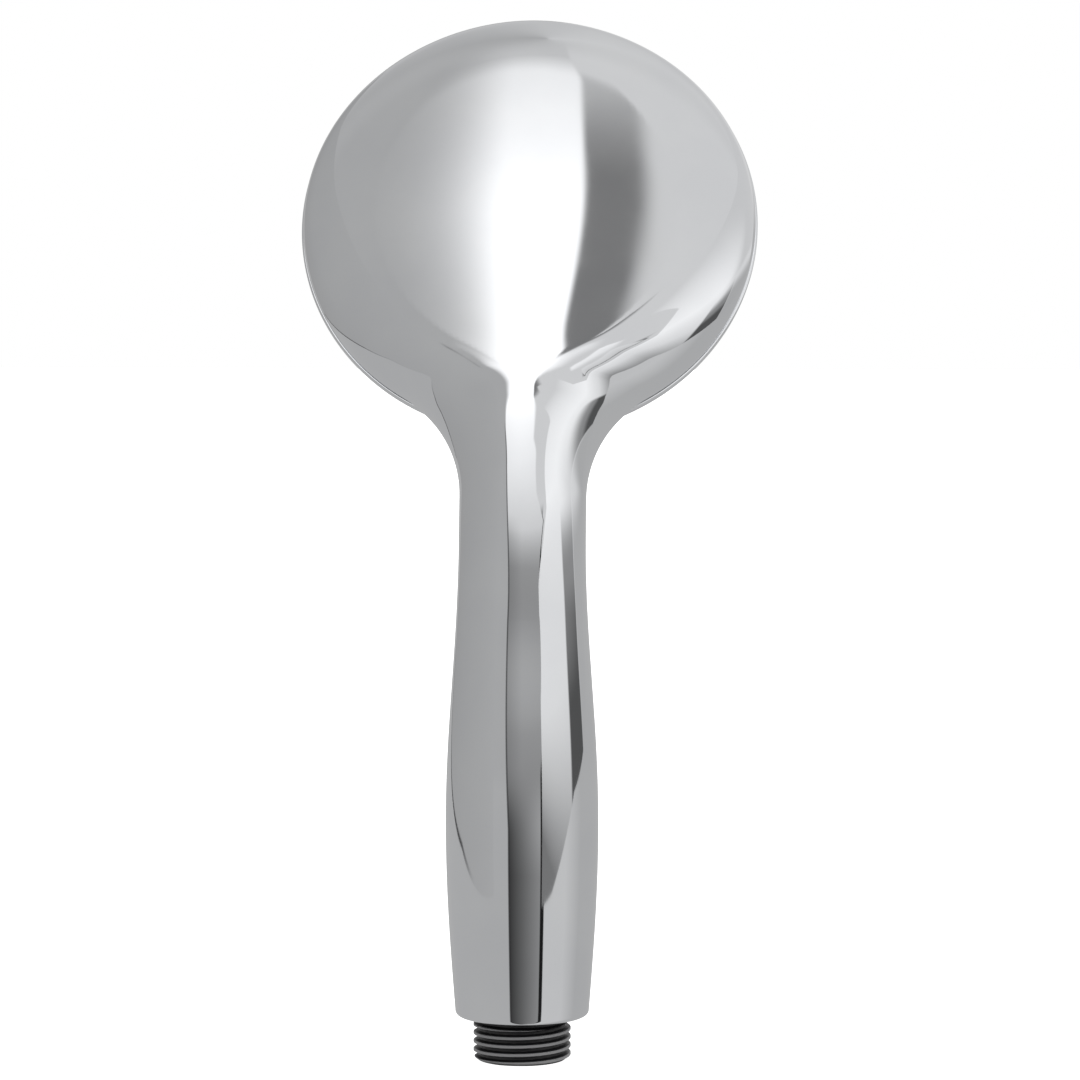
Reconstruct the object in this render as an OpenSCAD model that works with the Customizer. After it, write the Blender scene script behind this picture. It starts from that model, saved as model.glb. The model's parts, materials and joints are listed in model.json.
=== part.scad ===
// Handheld shower head with a selector dial, check valve and a one-piece shell.
// Origin: centre of the inlet spigot's end face. Z runs up the handle axis.
// The spray face looks towards -Y and leans forward by head_tilt.

/* [Display] */
// Which sub-part to draw, or all of them

/* [Handle] */
// Height of the shell's lower edge above the inlet end face
shell_z = 9.5; // [8:0.1:14]
// Handle radius at the lower edge
foot_r = 14.3; // [13.9:0.05:15]
// Handle radius at the fullest place
belly_r = 16.4; // [15:0.05:19]
// Height of the fullest place
belly_z = 51; // [40:1:60]
// Handle radius at the neck
neck_r = 13.6; // [13.3:0.1:15]
// Height where the neck is reached
neck_z = 112; // [100:1:118]
// Shell wall thickness
wall = 2.4; // [1.8:0.1:2.8]

/* [Head] */
// Radius of the front ring, the largest outline of the head
head_r = 50; // [48:0.5:56]
// Lean of the rim plane from the handle axis, degrees
head_tilt = 27.5; // [24:0.5:30]
// Height of the rim circle's centre
head_z = 178.6; // [176:0.2:186]
// Forward offset of the rim circle's centre
head_y = -33; // [-36:0.5:-31]
// Depth of the head behind the rim at the neck
deep_low = 17.6; // [17.4:0.1:21]
// Depth of the head behind the rim at the top
deep_top = 6; // [5.9:0.1:9]
// Bulge of the back between neck and top
back_bulge = 1.5; // [0:0.1:3]
// Fillet radius between handle and head outline
fillet_r = 27; // [18:0.5:30]
// Width of the rounded edge round the head
edge_w = 16; // [13:0.5:18]
// Steepness of the back's sides away from its middle ridge
side_lean = 0.108; // [0.06:0.002:0.14]

/* [Spray face] */
// Radius of the selector dial
dial_r = 17; // [16:0.1:18]
// Nozzles in the innermost ring
nozzle_count = 18; // [12:1:20]
// Distance between nozzle rings
nozzle_step = 7; // [6.5:0.1:7.5]
// Angle between two selector positions, degrees
click_angle = 45; // [30:5:60]

/* [Inlet] */
// Major radius of the inlet thread
thread_r = 10.4775; // [10.4:0.0005:10.5]
// Thread pitch
thread_pitch = 1.814; // [1.5:0.001:2]
// Number of thread turns
thread_turns = 4; // [3:1:4]

/* [Hidden] */
fit = 0.05;
chrome = [0.80, 0.81, 0.83];
black = [0.06, 0.06, 0.07];
grey = [0.55, 0.57, 0.60];
white = [0.90, 0.90, 0.88];
soft = [0.25, 0.26, 0.28];
steel = [0.70, 0.71, 0.72];
shell_r = head_r - 0.4;
recess_r = head_r - 3.1;
up_y = -sin(head_tilt);
up_z = cos(head_tilt);
back_y = cos(head_tilt);
back_z = sin(head_tilt);
foot_round = 1;
neck_front = 4;
rim_lift = 1.5;
rim_w = 2.5;
low_y = head_y - shell_r * up_y;
low_z = head_z - shell_r * up_z;
bend_z = low_z + low_y * up_z / sin(head_tilt);
bend_start = 2 * bend_z - low_z;
bend_v = (bend_start - head_z) * up_z - head_y * up_y;
bend_slope = -(belly_r - neck_r) / 2 * PI / (neck_z - belly_z)
    * sin(180 * (bend_start - belly_z) / (neck_z - belly_z));
ring_back = 0.3;
ring_front = 4;
face_r = head_r - 6.7;
mat_r = face_r - 0.4;
zone_r = dial_r + 1.5;
nozzle_r1 = 24;
turbine_r = 11.5;
shaft_r = 3;
tube_w = 8.45;
tube_r = 4.9;
tube_end_r = 3.5;
tube_bore = 2.7;
tube_meet_z = head_z + head_y * up_z / sin(head_tilt) + tube_w / sin(head_tilt);
tube_meet_v = (tube_meet_z - head_z) * up_z - head_y * up_y;
tube_low_z = 31;
socket_v = -38;
housing_r = 13;
housing_w = 8.9;

// ---------- curves of the shell ----------
function smooth(x, a, b) = let (t = min(1, max(0, (x - a) / (b - a)))) t * t * (3 - 2 * t);
function hermite(t, p, m, q, n) =
    (2 * t * t * t - 3 * t * t + 1) * p + (t * t * t - 2 * t * t + t) * m
    + (3 * t * t - 2 * t * t * t) * q + (t * t * t - t * t) * n;

// handle radius at height z
function handle_r(z) =
    z < belly_z ? foot_r + (belly_r - foot_r) * sin(90 * (z - shell_z) / (belly_z - shell_z))
    : z < neck_z ? neck_r + (belly_r - neck_r) * (1 + cos(180 * (z - belly_z) / (neck_z - belly_z))) / 2
    : neck_r;

// outline half width at slope position v near and on the head, for a rim radius r
function outline(v, r, n) =
    let (f = fillet_r, fv = -sqrt(pow(r + f, 2) - pow(n + f, 2)), ev = fv * r / (r + f))
    v < fv ? n
    : v < ev ? n + f - sqrt(f * f - pow(v - fv, 2))
    : sqrt(max(0, r * r - v * v));

// slope of the outline, used to turn a sideways distance into a distance from the edge
function outline_slope(v, r, n) =
    (outline(v + 5, r, n) - outline(v - 5, r, n)) / 10;

// depth of the back along the middle line
function deep(v) =
    v < -shell_r
    ? let (span = -shell_r - bend_v) hermite((v - bend_v) / span, neck_depth(), bend_slope / up_z * span,
        deep_low, ((deep_top - deep_low) / (2 * shell_r) + 2 * back_bulge / shell_r) * span)
    : deep_low + (deep_top - deep_low) * (v + shell_r) / (2 * shell_r)
        + back_bulge * (1 - pow(v / shell_r, 2));
function neck_depth() = handle_r(bend_start);

// steepness of the sides of the back and radius of its middle ridge
function side_slope(v) = side_lean * smooth(v, -80, -30);
function ridge_r(v) = 7 + 10 * smooth(v, -50, 10);
function edge_zone(v, n) = n + (edge_w - n) * smooth(v, -50, 10);

// share of the depth that is taken up by the short wall at the rim
function rim_share(v) = 0.5 * smooth(v, -44, 6);

// depth of the back at sideways position x on slope position v
function back_depth(x, v, r, n, cut) =
    let (w = outline(v, r, n), m = max(0, w * w - x * x),
        d = v < 0 ? max(0, w - abs(x)) / sqrt(1 + pow(outline_slope(v, r, n), 2))
            : m / (r + sqrt(max(0, r * r - m))),
        e = edge_zone(v, n) - cut / 2, c = 1 - min(1, d / max(e, 0.01)),
        b = 1 - min(1, d / rim_w), s = rim_share(v),
        g = side_slope(v) * (sqrt(x * x + pow(ridge_r(v), 2)) - ridge_r(v)))
    (deep(v) - cut - g) * ((1 - s) * sqrt(1 - c * c) + s * sqrt(1 - b * b));

// one closed ring of points: back half, then front half
function row(y, z, ny, nz, w, backs, front, p) =
    let (h = len(backs) - 1)
    concat(
        [for (i = [0:h]) let (x = w * cos(180 * i / h)) [x, y + ny * backs[i], z + nz * backs[i]]],
        [for (i = [1:h - 1]) let (c = cos(180 * i / h), s = front * pow(1 - pow(abs(c), p), 1 / 2))
            [-w * c, y - ny * s, z - nz * s]]);

function handle_row(z, r, steps) =
    row(0, z, 1, 0, r, [for (i = [0:steps]) r * sin(180 * i / steps)], r, 2);

// row in the curved neck, q from 0 (straight handle) to 1 (lower rim point)
function neck_row(q, steps, cut, r, n, front_end) =
    let (y = q * q * low_y, z = pow(1 - q, 2) * bend_start + 2 * q * (1 - q) * bend_z + q * q * low_z,
        a = head_tilt * smooth(q, 0, 1),
        v = (y - head_y) * up_y + (z - head_z) * up_z,
        m = handle_r(z) - cut,
        w = max(outline(v, r, n), m),
        lift = (cut > 0 ? rim_lift : 0) * smooth(q, 0.4, 1),
        squeeze = 1 - lift / (deep(v) - cut))
    row(y + lift * cos(a), z + lift * sin(a), cos(a), sin(a), w,
        [for (i = [0:steps]) let (c = cos(180 * i / steps), s = sin(180 * i / steps))
            let (b = back_depth(w * c, v, r, n, cut), u = (deep(v) - cut) * s, k = smooth(q, 0.15, 0.75))
            squeeze * (u + (b - u) * k)],
        hermite(q, neck_depth() - cut, bend_slope * 2 * (bend_z - bend_start), front_end, -14),
        2 + 0.8 * q);

// row across the head at slope position v; a cut row starts rim_lift behind the rim plane
function head_row(v, steps, cut, r, n, front) =
    let (lift = cut > 0 ? rim_lift : 0, squeeze = 1 - lift / (deep(v) - cut))
    row(head_y + v * up_y + lift * back_y, head_z + v * up_z + lift * back_z, back_y, back_z,
        outline(v, r, n),
        [for (i = [0:steps]) squeeze * back_depth(outline(v, r, n) * cos(180 * i / steps), v, r, n, cut)],
        front, 2.8);

module loft(rows) {
    n = len(rows[0]);
    m = len(rows);
    side = [for (i = [0:m - 2]) for (j = [0:n - 1])
        let (a = i * n + j, b = i * n + (j + 1) % n)
        each [[a, a + n, b], [b, a + n, b + n]]];
    bottom = [[for (j = [0:n - 1]) j]];
    top = [[for (j = [n - 1:-1:0]) (m - 1) * n + j]];
    points = [for (r = rows) each r];
    polyhedron(points = points, faces = concat(side, bottom, top), convexity = 8);
}

module at_head() {
    translate([0, head_y, head_z])
        rotate([90 + head_tilt, 0, 0])
            children();
}

module ring(r1, r2, z1, z2) {
    translate([0, 0, z1])
        difference() {
            cylinder(h = z2 - z1, r = r2, $fn = 96);
            translate([0, 0, -1])
                cylinder(h = z2 - z1 + 2, r = r1, $fn = 96);
        }
}

module seal(r, t) {
    rotate_extrude($fn = 64)
        translate([r, 0])
            circle(r = t, $fn = 20);
}

// compression spring along Z as one closed coil
module coil(r, wire, length, turns, steps) {
    total = turns * steps;
    sides = 6;
    points = [for (i = [0:total]) let (a = 360 * i / steps, z = length * i / total)
        for (j = [0:sides - 1]) let (b = 360 * j / sides)
            [(r + wire * cos(b)) * cos(a), (r + wire * cos(b)) * sin(a), z + wire * sin(b)]];
    side = [for (i = [0:total - 1]) for (j = [0:sides - 1])
        let (a = i * sides + j, b = i * sides + (j + 1) % sides)
        each [[a, b, a + sides], [b, b + sides, a + sides]]];
    first = [[for (j = [sides - 1:-1:0]) j]];
    last = [[for (j = [0:sides - 1]) total * sides + j]];
    polyhedron(points = points, faces = concat(side, first, last), convexity = 6);
}

// ---------- shell ----------
outer_steps = 32;
inner_steps = 20;
outer_rows = concat(
    [for (i = [0:4]) let (z = shell_z + foot_round * (1 - cos(90 * i / 4)),
        r = handle_r(z) - foot_round * (1 - sin(90 * i / 4))) handle_row(z, r, outer_steps)],
    [for (i = [1:9]) let (z = shell_z + foot_round + (bend_start - shell_z - foot_round) * i / 9)
        handle_row(z, handle_r(z), outer_steps)],
    [for (i = [1:11]) neck_row(i / 12, outer_steps, 0, shell_r, neck_r, neck_front)],
    [for (i = [0:5]) let (v = -shell_r + (shell_r - 42) * i / 5)
        head_row(v, outer_steps, 0, shell_r, neck_r, neck_front)],
    [for (i = [1:20]) let (a0 = asin(-42 / shell_r), v = shell_r * sin(a0 + (88.6 - a0) * i / 20))
        head_row(v, outer_steps, 0, shell_r, neck_r, 1)]);
inner_r = recess_r - 0.1;
inner_rows = concat(
    [for (z = [shell_z + 6, 30, 50, 70, bend_start]) handle_row(z, handle_r(z) - wall, inner_steps)],
    [for (i = [1:8]) neck_row(i / 9, inner_steps, wall, inner_r, neck_r - wall, -1.1)],
    [for (i = [0:16]) let (a = -90 + 177 * i / 16, v = i == 0 ? -shell_r : inner_r * sin(a))
        head_row(v, inner_steps, wall, inner_r, neck_r - wall, -1.1)]);

// resize leaves the size as it is and keeps the cut shell one clean mesh
module body_shell() {
    color(chrome)
        resize([0, 0, 0])
            difference() {
                loft(outer_rows);
                loft(inner_rows);
                translate([0, 0, shell_z - 1])
                    cylinder(h = 8, r = 11.7, $fn = 64);
                at_head()
                    translate([0, 0, -3])
                        cylinder(h = 20, r = recess_r, $fn = 96);
                at_head()
                    cylinder(h = 20, r = head_r + 0.2, $fn = 128);
            }
}

// ---------- head, all drawn in the head's own frame ----------
// chrome ring that closes the rim and holds the face
module front_ring() {
    color(chrome)
        at_head()
            rotate_extrude($fn = 128)
                polygon(concat(
                    [[recess_r - 2, -2.6], [recess_r - 0.25, -2.6], [recess_r - 0.25, ring_back],
                        [head_r - 0.35, ring_back], [head_r, ring_back + 0.35]],
                    [for (i = [0:6]) let (a = 90 * i / 6)
                        [head_r - 2.6 + 2.6 * cos(a), ring_front - 2.6 + 2.6 * sin(a)]],
                    [[face_r + 0.8, ring_front], [face_r + 0.2, ring_front - 0.6],
                        [face_r + 0.2, 0.6], [recess_r - 2, 0.6]]));
}

// angle and radius of every nozzle
ring_radii = [nozzle_r1, nozzle_r1 + nozzle_step, nozzle_r1 + 2 * nozzle_step];
ring_counts = [nozzle_count, nozzle_count + 6, nozzle_count + 12];

module nozzle_places() {
    for (k = [0:2])
        for (i = [0:ring_counts[k] - 1])
            rotate([0, 0, 360 * i / ring_counts[k] + 90])
                translate([ring_radii[k], 0, 0])
                    children();
}

module face_plate() {
    color(white)
        at_head()
            difference() {
                union() {
                    ring(dial_r + 0.4, face_r, 0.9, 2.9);
                    ring(dial_r + 0.4, dial_r + 1.6, 0.9, 3.6);
                }
                nozzle_places()
                    cylinder(h = 8, r = 1.9, center = true, $fn = 24);
            }
}

module nozzle_mat() {
    color(soft)
        at_head()
            difference() {
                union() {
                    ring(zone_r + 0.15, mat_r, -0.4, 0.6);
                    nozzle_places()
                        translate([0, 0, 0.5])
                            cylinder(h = 3.7, r1 = 1.6, r2 = 1.1, $fn = 24);
                }
                nozzle_places()
                    cylinder(h = 12, r = 0.5, center = true, $fn = 16);
            }
}

// front half of the water box: floor, walls and ports
screw_r = 21;
screw_angles = [90, 210, 330];
port_r = 8;
port_angles = [90, 90 + click_angle, 90 - click_angle];

module chamber_plate() {
    color(grey)
        at_head()
            difference() {
                union() {
                    ring(zone_r, mat_r, -3, -2.1);
                    ring(zone_r, zone_r + 1.2, -3, -0.7);
                    ring(ring_radii[0] + 2.9, ring_radii[0] + 4.1, -3, -0.7);
                    ring(mat_r - 1.2, mat_r, -3, -0.7);
                    ring(shaft_r + fit, zone_r, -3, -2.1);
                    ring(dial_r + 0.3, zone_r, -3, 0.3);
                    for (a = screw_angles)
                        rotate([0, 0, a])
                            translate([screw_r + 0.2, 0, -3])
                                cylinder(h = 2.1, r = 2.6, $fn = 32);
                }
                for (a = screw_angles)
                    rotate([0, 0, a])
                        translate([screw_r + 0.2, 0, -4]) {
                            cylinder(h = 5, r = 1.45, $fn = 24);
                            translate([0, 0, 2.2])
                                cylinder(h = 3, r = 2.2, $fn = 24);
                        }
                for (i = [0:5])
                    rotate([0, 0, 60 * i])
                        translate([ring_radii[0], 0, -4])
                            cylinder(h = 3, r = 1.6, $fn = 24);
                for (i = [0:9])
                    rotate([0, 0, 36 * i + 90])
                        translate([ring_radii[1] + 3, 0, -4])
                            cylinder(h = 3, r = 1.8, $fn = 24);
                for (i = [0:5])
                    rotate([0, 0, 60 * i])
                        translate([port_r, 0, -4])
                            cylinder(h = 3, r = 1.5, $fn = 24);
                detent_places()
                    translate([0, 0, -1.3])
                        sphere(r = 1.15, $fn = 24);
            }
}

module chamber_seal() {
    color(soft)
        at_head()
            translate([0, 0, -3.5])
                seal(33.5, 0.44);
}

// back half of the water box with the valve housing and the inlet socket
module distributor() {
    color(grey)
        at_head()
            difference() {
                union() {
                    ring(shaft_r + fit, 36, -5.3, -4);
                    ring(34.6, 36, -5.3, -3.3);
                    ring(31.4, 32.4, -5.3, -3.3);
                    ring(shaft_r + fit, shaft_r + 1.2, -5.3, -3.3);
                    difference() {
                        translate([0, 0, -housing_w])
                            cylinder(h = housing_w - 4, r = housing_r, $fn = 96);
                        translate([0, 0, -housing_w + 1.1])
                            cylinder(h = housing_w, r = housing_r - 1.2, $fn = 96);
                    }
                    ring(shaft_r + fit, 12.5, -5.4, -4);
                    translate([0, socket_v, -tube_w])
                        rotate([-90, 0, 0])
                            cylinder(h = 17, r = 4.25, $fn = 64);
                    translate([-4.25, -22, -11.5])
                        cube([8.5, 11, 7.5]);
                    for (a = screw_angles)
                        rotate([0, 0, a])
                            translate([screw_r + 0.2, 0, -6.6])
                                cylinder(h = 3.3, r = 2.5, $fn = 32);
                }
                translate([0, 0, -housing_w + 1.1])
                    cylinder(h = housing_w - 1.1 - 5.4, r = housing_r - 1.2, $fn = 96);
                translate([0, 0, -4])
                    cylinder(h = 10, r = 12, $fn = 64);
                translate([0, socket_v - 1, -tube_w])
                    rotate([-90, 0, 0])
                        cylinder(h = 11, r = tube_end_r + 0.12, $fn = 48);
                translate([0, socket_v - 1, -tube_w])
                    rotate([-90, 0, 0])
                        cylinder(h = 16.5, r = 2.6, $fn = 32);
                translate([-3.2, -22.5, -10.4])
                    cube([6.4, 9.7, 4.8]);
                translate([-3.2, -13, -housing_w + 1.1])
                    cube([6.4, 4, 2.2]);
                for (a = port_angles)
                    rotate([0, 0, a])
                        translate([port_r, 0, -7])
                            cylinder(h = 5, r = 1.7, $fn = 32);
                for (a = screw_angles)
                    rotate([0, 0, a])
                        translate([screw_r + 0.2, 0, -6.1])
                            cylinder(h = 5, r = 1.05, $fn = 24);
            }
}

module valve_gasket() {
    color(soft)
        at_head()
            for (a = port_angles)
                rotate([0, 0, a])
                    translate([port_r, 0, -5.75])
                        ring(1.8, 2.5, 0, 0.3);
}

module housing_screws() {
    color(steel)
        at_head()
            for (a = screw_angles)
                rotate([0, 0, a])
                    translate([screw_r + 0.2, 0, 0])
                        difference() {
                            union() {
                                translate([0, 0, -1.75])
                                    cylinder(h = 0.8, r = 2.1, $fn = 32);
                                translate([0, 0, -5.9])
                                    cylinder(h = 4.3, r = 1, $fn = 24);
                            }
                            translate([0, 0, -1.35])
                                cylinder(h = 1, r = 0.9, $fn = 6);
                        }
}

// ---------- selector ----------
module detent_places() {
    for (a = [90, 90 + click_angle, 90 - click_angle, 270])
        rotate([0, 0, a])
            translate([14.2, 0, 0])
                children();
}

module selector_dial() {
    color(grey)
        at_head()
            difference() {
                union() {
                    translate([0, 0, 1.1])
                        cylinder(h = 1.9, r = dial_r, $fn = 96);
                    ring(15.9, dial_r - 0.1, -1.2, 1.1);
                    translate([0, 14.2, -1.2])
                        cylinder(h = 2.4, r = 1.75, $fn = 32);
                    cylinder(h = 1.2, r = 4.2, $fn = 48);
                    translate([0, 0, -5.7])
                        cylinder(h = 6, r = shaft_r, $fn = 48);
                    translate([0, 0, -7])
                        intersection() {
                            cylinder(h = 2, r = shaft_r, $fn = 48);
                            translate([-2.2, -4, 0])
                                cube([4.4, 8, 2]);
                        }
                    for (s = [-1, 1])
                        translate([0, s * 11.2, 2.9])
                            hull() {
                                translate([0, -4, 0])
                                    cylinder(h = 2.6, r1 = 1.9, r2 = 1.3, $fn = 24);
                                translate([0, 4, 0])
                                    cylinder(h = 2.6, r1 = 1.9, r2 = 1.3, $fn = 24);
                            }
                }
                translate([0, 14.2, -2])
                    cylinder(h = 3.6, r = 1.15, $fn = 32);
                translate([0, 0, -8])
                    cylinder(h = 6, r = 1.05, $fn = 24);
                translate([0, 0, 2.4])
                    cylinder(h = 2, r = 5.1, $fn = 48);
                for (i = [0:9])
                    rotate([0, 0, 36 * i + 18])
                        translate([8.6, 0, -1])
                            cylinder(h = 8, r = 0.7, $fn = 16);
            }
}

module dial_cap() {
    color(chrome)
        at_head()
            rotate_extrude($fn = 64)
                polygon([[0, 2.45], [4.9, 2.45], [4.9, 3.3], [4.5, 3.7], [2.6, 4], [0, 4.1]]);
}

module dial_seal() {
    color(soft)
        at_head()
            translate([0, 0, -3.72])
                ring(shaft_r + 1.5, shaft_r + 2.4, 0, 0.4);
}

module valve_disc() {
    color(white)
        at_head()
            difference() {
                translate([0, 0, -6.9])
                    cylinder(h = 1.1, r = 11.3, $fn = 96);
                intersection() {
                    translate([0, 0, -8])
                        cylinder(h = 4, r = shaft_r + 0.06, $fn = 48);
                    translate([-2.26, -4, -8])
                        cube([4.52, 8, 4]);
                }
                translate([0, port_r, -8])
                    cylinder(h = 4, r = 1.9, $fn = 32);
            }
}

module valve_washer() {
    color(steel)
        at_head()
            ring(1.3, 3.6, -7.45, -7.05);
}

module dial_screw() {
    color(steel)
        at_head()
            difference() {
                union() {
                    translate([0, 0, -7.78])
                        cylinder(h = 0.3, r = 2, $fn = 32);
                    translate([0, 0, -7.6])
                        cylinder(h = 5, r = 1, $fn = 24);
                }
                translate([0, 0, -8])
                    cylinder(h = 1.2, r = 0.7, $fn = 6);
            }
}

module detent_ball() {
    color(steel)
        at_head()
            translate([0, 14.2, -0.97])
                sphere(r = 1.08, $fn = 32);
}

module detent_spring() {
    color(steel)
        at_head()
            translate([0, 14.2, 0.3])
                coil(0.72, 0.14, 1.1, 3, 16);
}

// bladed wheel that pulses the centre spray
module turbine() {
    color(white)
        at_head()
            difference() {
                union() {
                    ring(shaft_r + 0.08, shaft_r + 1.1, -1.8, -0.3);
                    difference() {
                        cylinder_at(turbine_r, -1.8, -1.2);
                        cylinder_at(shaft_r + 0.9, -2, 0);
                    }
                    for (i = [0:11])
                        rotate([0, 0, 30 * i])
                            translate([4, 0, -1.3])
                                rotate([0, 0, 24])
                                    cube([6.6, 0.7, 0.9]);
                }
                for (a = [0, 180])
                    rotate([0, 0, a + 15])
                        translate([8, 0, -3])
                            cylinder(h = 3, r = 1.2, $fn = 20);
            }
}

module cylinder_at(r, z1, z2) {
    translate([0, 0, z1])
        cylinder(h = z2 - z1, r = r, $fn = 64);
}

// ---------- waterway in the handle ----------
// along the head's own axis, starting from the elbow
module from_elbow() {
    at_head()
        translate([0, tube_meet_v, -tube_w])
            rotate([-90, 0, 0])
                children();
}

module waterway_tube() {
    reach = socket_v - tube_meet_v;
    color(white)
        difference() {
            union() {
                translate([0, 0, tube_low_z])
                    cylinder(h = tube_meet_z - tube_low_z, r = tube_r, $fn = 64);
                translate([0, 0, tube_meet_z])
                    sphere(r = tube_r + 0.8, $fn = 64);
                from_elbow()
                    cylinder(h = reach - 4, r = tube_r, $fn = 64);
                from_elbow()
                    cylinder(h = reach + 9, r = tube_end_r, $fn = 64);
            }
            translate([0, 0, tube_low_z - 1])
                cylinder(h = tube_meet_z - tube_low_z + 1, r = tube_bore + 1, $fn = 64);
            translate([0, 0, tube_meet_z])
                sphere(r = tube_bore + 1.2, $fn = 64);
            from_elbow()
                cylinder(h = reach - 5, r = tube_bore + 1, $fn = 64);
            from_elbow()
                cylinder(h = reach + 10, r = tube_bore, $fn = 64);
        }
}

module tube_seal_upper() {
    color(soft)
        at_head()
            translate([0, socket_v - 1.3, -tube_w])
                rotate([90, 0, 0])
                    seal(tube_end_r + 0.65, 0.6);
}

module tube_seal_lower() {
    color(soft)
        translate([0, 0, 37.2])
            seal(tube_r + 0.85, 0.8);
}

// ---------- inlet ----------
valve_low_z = 9;
valve_high_z = 25;

module inlet_spigot() {
    color(black)
        difference() {
            union() {
                rotate_extrude($fn = 96)
                    polygon(concat(
                        [[5, 0], [thread_r - 0.9, 0], [thread_r - 0.25, 0.7]],
                        [for (i = [0:thread_turns - 1]) let (z = 1 + i * thread_pitch)
                            each [[thread_r, z], [thread_r, z + 0.45],
                                [thread_r - 1.1, z + 1], [thread_r - 1.1, z + 1.3]]],
                        [[thread_r - 1.1, shell_z - 0.4], [11.4, shell_z + 0.3],
                            [11.4, shell_z + 5], [10.2, shell_z + 5.3], [10.2, 40], [5, 40]]));
            }
            translate([0, 0, -1])
                cylinder(h = 9.4, r = 7.6, $fn = 64);
            cylinder(h = 26, r = 7, $fn = 64);
            cylinder(h = 50, r = 4.6, $fn = 64);
            translate([0, 0, 30.6])
                cylinder(h = 12, r = tube_r + 0.1, $fn = 64);
            translate([0, 0, 36.2])
                cylinder(h = 5, r = tube_r + 1.7, $fn = 64);
            translate([0, 0, 19])
                rotate_extrude($fn = 64)
                    translate([10.4, 0])
                        circle(r = 0.9, $fn = 20);
        }
}

module spigot_seal() {
    color(soft)
        translate([0, 0, 19])
            seal(10.55, 0.75);
}

module inlet_filter() {
    color(steel)
        translate([0, 0, 0.8]) {
            ring(6.2, 7.3, 0, 2);
            intersection() {
                cylinder(h = 1, r = 6.6, $fn = 64);
                translate([0, 0, 0.5])
                    for (i = [-5:5]) {
                        translate([-8, i * 1.15 - 0.2, 0])
                            cube([16, 0.4, 0.3]);
                        translate([i * 1.15 - 0.2, -8, -0.3])
                            cube([0.4, 16, 0.3]);
                    }
            }
        }
}

module flow_regulator() {
    color(grey)
        difference() {
            translate([0, 0, 3.4])
                cylinder(h = 4.2, r = 7.25, $fn = 64);
            translate([0, 0, 4.8])
                cylinder(h = 4, r = 6.3, $fn = 64);
            for (i = [0:5])
                rotate([0, 0, 60 * i])
                    translate([3.6, 0, 3])
                        cylinder(h = 3, r = 0.8, $fn = 20);
        }
}

module regulator_ring() {
    color(soft)
        translate([0, 0, 5.8])
            seal(4.6, 0.8);
}

module check_valve_body() {
    color(white)
        difference() {
            translate([0, 0, valve_low_z])
                cylinder(h = valve_high_z - valve_low_z, r = 6.75, $fn = 64);
            translate([0, 0, valve_low_z - 1])
                cylinder(h = 4, r = 3.8, $fn = 48);
            translate([0, 0, valve_low_z + 1.6])
                cylinder(h = valve_high_z - valve_low_z - 3.2, r = 5.7, $fn = 48);
            translate([0, 0, valve_high_z - 3])
                cylinder(h = 5, r = 1.26, $fn = 32);
            for (i = [0:3])
                rotate([0, 0, 90 * i + 45])
                    translate([3.9, 0, valve_high_z - 3])
                        cylinder(h = 5, r = 1.5, $fn = 24);
            translate([0, 0, 17])
                rotate_extrude($fn = 64)
                    translate([6.9, 0])
                        circle(r = 0.62, $fn = 16);
        }
}

module check_valve_seal() {
    color(soft)
        translate([0, 0, 17])
            seal(6.62, 0.33);
}

module check_valve_poppet() {
    color(grey)
        union() {
            translate([0, 0, valve_low_z + 2.2])
                cylinder(h = 1.2, r = 5.2, $fn = 48);
            translate([0, 0, valve_low_z + 3])
                cylinder(h = valve_high_z - valve_low_z - 2.4, r = 1.2, $fn = 32);
            translate([0, 0, valve_low_z + 0.4])
                cylinder(h = 2, r1 = 2.2, r2 = 3.2, $fn = 32);
        }
}

module poppet_seal() {
    color(soft)
        translate([0, 0, valve_low_z + 1.63])
            ring(3.9, 5, 0, 0.5);
}

module check_valve_spring() {
    color(steel)
        translate([0, 0, valve_low_z + 3.8])
            coil(2.9, 0.3, valve_high_z - valve_low_z - 5.9, 6, 20);
}

body_shell();
front_ring();
face_plate();
nozzle_mat();
chamber_plate();
chamber_seal();
distributor();
valve_gasket();
housing_screws();
selector_dial();
dial_cap();
dial_seal();
valve_disc();
valve_washer();
dial_screw();
detent_ball();
detent_spring();
turbine();
waterway_tube();
tube_seal_upper();
tube_seal_lower();
inlet_spigot();
spigot_seal();
check_valve_body();
check_valve_seal();
check_valve_poppet();
poppet_seal();
check_valve_spring();
flow_regulator();
regulator_ring();
inlet_filter();
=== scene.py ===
import bmesh
import bpy
import json
import math
import numpy as np
from mathutils import Matrix, Vector


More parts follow.
